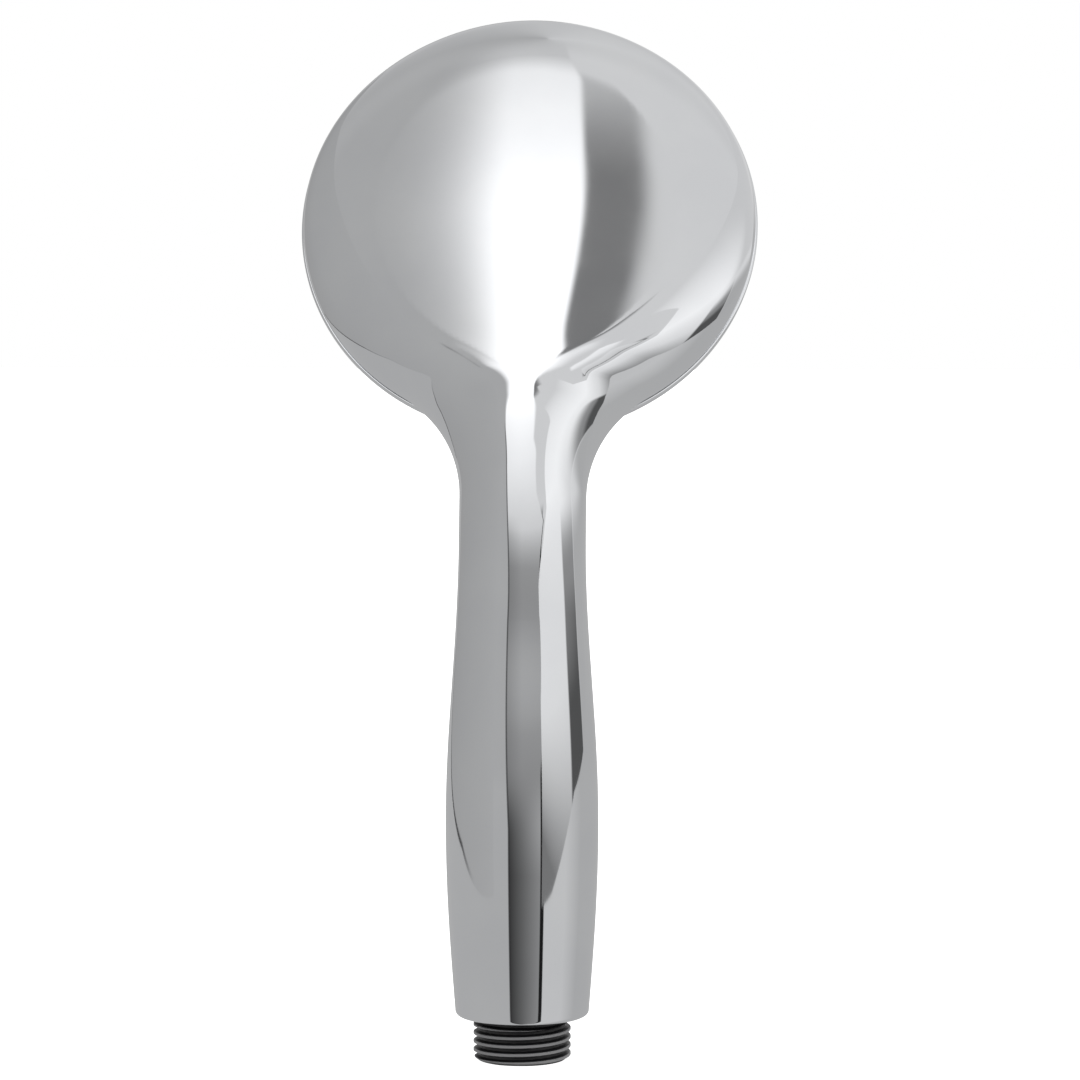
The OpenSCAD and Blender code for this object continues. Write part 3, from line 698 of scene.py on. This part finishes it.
def room_light(tree):
    """Brightness of the room by direction: azimuth from the camera's side, + to its right, and height."""
    s = Shades(tree)
    coords = tree.nodes.new("ShaderNodeTexCoord")
    split = tree.nodes.new("ShaderNodeSeparateXYZ")
    tree.links.new(coords.outputs["Generated"], split.inputs[0])
    right = s.math("MULTIPLY", split.outputs["X"], -1.0)
    turn = s.math("DEGREES", s.math("ARCTAN2", right, split.outputs["Y"]))
    az = s.math("SUBTRACT", turn, CAMERA_AZ - 180)
    el = s.math("DEGREES", s.math("ARCSINE", split.outputs["Z"]))
    height = s.math("MAXIMUM", split.outputs["Z"], 0.05)
    reach = s.math("DIVIDE", s.math("COSINE", s.math("RADIANS", el)), height)
    across = s.both(reach, s.math("SINE", s.math("RADIANS", az)))
    along = s.both(reach, s.math("COSINE", s.math("RADIANS", az)))
    high = s.step(el, 22, 30)
    roof = s.step(el, 46, 56)

    # the soft box: upright on the camera's side, then overhead
    left_low = s.line(el, [(-8, -20), (20, -36)])
    left_high = s.line(along, [(0.3, -0.18), (0.6, -0.26), (2.3, -1.8)])
    soft_high = s.line(along, [(0.6, 0.085), (1.0, 0.03)])
    lit_low = s.math("DIVIDE", s.math("SUBTRACT", az, left_low), 0.7)
    lit_high = s.math("DIVIDE", s.math("SUBTRACT", across, left_high), soft_high)
    from_left = s.over(lit_low, lit_high, high)
    right_low = s.line(el, [(-3, 28), (7, 44), (14, 32)])
    right_high = s.line(along, [(0.3, 0.045), (0.6, 0.085), (2.3, 1.1)])
    wide_low = s.line(el, [(-3, 6), (3, 1.2), (8, 1.2), (14, 20)])
    wide_high = s.line(along, [(0.6, 0.06), (0.9, 0.9)])
    gap_low = s.math("DIVIDE", s.math("SUBTRACT", az, right_low), wide_low)
    gap_high = s.math("DIVIDE", s.math("SUBTRACT", across, right_high), wide_high)
    past = s.over(gap_low, gap_high, high)

    left = s.over(FLOOR_GREY, SIDE_GREY, s.step(el, -5, -2))
    floor = s.line(az, [(70, 0.6), (100, FLOOR_GREY)])
    right_side = s.over(floor, RIGHT_WHITE, s.step(el, -2, 6))
    rise = s.line(el, [(-12, 0.15), (0, 0.33), (6, 0.7), (24, 1.0), (56, BRIGHT)])
    low_slope = s.line(az, [(-20, 0.27), (0, 0.85), (28, 1.8)])
    mid_slope = s.line(az, [(-25, 0.75), (0, 1.0)])
    slope = s.over(low_slope, mid_slope, s.step(el, -9, -2))
    glow = s.both(rise, s.over(slope, 1.0, s.step(el, 4, 10)))
    fade = s.line(along, [(0.15, 0.62), (0.42, BRIGHT)])
    box = s.over(glow, fade, roof)

    whole = s.over(left, box, s.step(from_left, -1, 1))
    whole = s.over(whole, right_side, s.step(past, -0.06, 0.12))
    flag = s.line(el, [(3, 0.012), (20, 0.3), (56, 0.21)])
    flag_on = s.over(1.0, s.step(along, 0.24, 0.4), roof)
    clear = s.math("SUBTRACT", 1.0, s.band(el, 9, 56, 2))
    whole = s.over(whole, flag, s.both(s.both(s.band(past, 0, 1, 0.12), flag_on), clear))
    frame_edge = s.band(s.math("SUBTRACT", az, left_low), -1.2, 1.2, 0.7)
    frame_edge = s.both(frame_edge, s.math("SUBTRACT", 1.0, s.step(el, 26, 36)))
    whole = s.over(whole, 0.02, s.both(frame_edge, 0.75))
    behind = s.line(az, [(-180, 0.6), (-100, 0.45), (100, 0.68), (180, 0.6)])
    return s.over(behind, whole, s.over(1.0, s.step(along, 0.0, 0.15), high))


def make_world():
    world = bpy.data.worlds.new("studio")
    world.use_nodes = True
    tree = world.node_tree
    room = tree.nodes["Background"]
    tree.links.new(room_light(tree), room.inputs["Strength"])
    room.inputs["Color"].default_value = (1, 1, 1, 1)
    seen = tree.nodes.new("ShaderNodeBackground")
    seen.inputs["Color"].default_value = (1, 1, 1, 1)
    mix = tree.nodes.new("ShaderNodeMixShader")
    path = tree.nodes.new("ShaderNodeLightPath")
    tree.links.new(path.outputs["Is Camera Ray"], mix.inputs["Fac"])
    tree.links.new(room.outputs["Background"], mix.inputs[1])
    tree.links.new(seen.outputs["Background"], mix.inputs[2])
    tree.links.new(mix.outputs["Shader"], tree.nodes["World Output"].inputs["Surface"])
    bpy.context.scene.world = world


def board(name, corners):
    """A flat glowing board that the camera doesn't see directly."""
    obj = new_object(name, corners, [tuple(range(len(corners)))])
    obj.visible_camera = False
    obj.visible_shadow = False
    material = bpy.data.materials.new(name + "_light")
    material.use_nodes = True
    tree = material.node_tree
    tree.nodes.clear()
    out = tree.nodes.new("ShaderNodeOutputMaterial")
    light = tree.nodes.new("ShaderNodeEmission")
    tree.links.new(light.outputs["Emission"], out.inputs["Surface"])
    coords = tree.nodes.new("ShaderNodeTexCoord")
    split = tree.nodes.new("ShaderNodeSeparateXYZ")
    tree.links.new(coords.outputs["Object"], split.inputs[0])
    obj.data.materials.append(material)
    return Shades(tree), split.outputs, light.inputs["Strength"]


def left_board():
    """A grey board with a black lower edge."""
    x = WALL_FAR
    foot = [(-0.62, 0.03), (-0.05, -0.013), (0.42, -0.09)]
    corners = [(x, f, z) for f, z in foot] + [(x, 0.42, 0.7), (x, -0.62, 0.7)]
    s, at, strength = board("left_board", corners)
    grey = s.line(at["Y"], [(-0.62, 0.35), (0.4, 0.44)])
    above = s.math("SUBTRACT", at["Z"], s.line(at["Y"], foot))
    edge = s.math("SUBTRACT", 1.0, s.step(above, 0.003, 0.006))
    edge = s.both(edge, s.over(0.9, 0.0, s.step(at["Y"], -0.1, 0.12)))
    s.plug(s.over(grey, 0.02, edge), strength)


def right_board():
    """A white board, darker towards its foot, with a dark upright strip and a grey far end."""
    x = -WALL_FAR
    foot = [(-0.6, 0.09), (0.02, 0.026), (0.32, -0.07), (0.56, -0.13)]
    inner = [(0.56, 0.09), (0.37, 0.14), (0.26, 0.19), (0.26, 0.34), (0.46, 0.62)]
    corners = [(x, f, z) for f, z in foot + inner] + [(x, -0.6, 0.62)]
    s, at, strength = board("right_board", corners)
    white = s.line(at["Z"], [(-0.05, 0.2), (0.08, 0.8), (0.2, 1.03), (0.6, 0.72)])
    upper = s.step(at["Z"], 0.13, 0.17)
    ridge = s.line(at["Z"], [(0.12, 0.0), (0.6, 0.34)])
    fall = s.step(s.math("SUBTRACT", ridge, at["Y"]), -0.02, 0.24)
    white = s.over(white, 0.655, s.both(upper, fall))
    low = s.math("SUBTRACT", 1.0, s.step(at["Z"], 0.10, 0.165))
    strip = s.both(low, s.band(at["Y"], -0.14, 0.045, 0.012))
    white = s.over(white, s.over(0.09, 0.28, s.step(at["Z"], 0.07, 0.10)), strip)
    far = s.both(low, s.math("SUBTRACT", 1.0, s.step(at["Y"], -0.152, -0.138)))
    s.plug(s.over(white, 0.45, far), strength)


def make_floor():
    floor = new_object("floor", [(-3, -3, 0), (3, -3, 0), (3, 3, 0), (-3, 3, 0)], [(0, 1, 2, 3)])
    material = bpy.data.materials.new("pale_floor")
    material.use_nodes = True
    shader = material.node_tree.nodes["Principled BSDF"]
    shader.inputs["Base Color"].default_value = (0.9, 0.9, 0.9, 1)
    shader.inputs["Roughness"].default_value = 0.9
    shader.inputs["Emission Color"].default_value = (1, 1, 1, 1)
    shader.inputs["Emission Strength"].default_value = 1.0
    floor.data.materials.append(material)
    floor.visible_glossy = False
    floor.visible_diffuse = False


def make_camera():
    data = bpy.data.cameras.new("camera")
    data.sensor_width = 36
    data.lens = LENS
    data.clip_start = 0.01
    camera = bpy.data.objects.new("camera", data)
    a = math.radians(CAMERA_AZ)
    e = math.radians(CAMERA_EL)
    away = Vector((math.sin(a) * math.cos(e), -math.cos(a) * math.cos(e), math.sin(e)))
    camera.location = AIM + CAMERA_FAR * away
    camera.rotation_euler = away.to_track_quat("Z", "Y").to_euler()
    bpy.context.scene.collection.objects.link(camera)
    bpy.context.scene.camera = camera


def make_studio():
    make_world()
    left_board()
    right_board()
    make_floor()
    scene = bpy.context.scene
    scene.view_settings.view_transform = "Standard"
    scene.view_settings.look = "None"


make_camera()
make_studio()
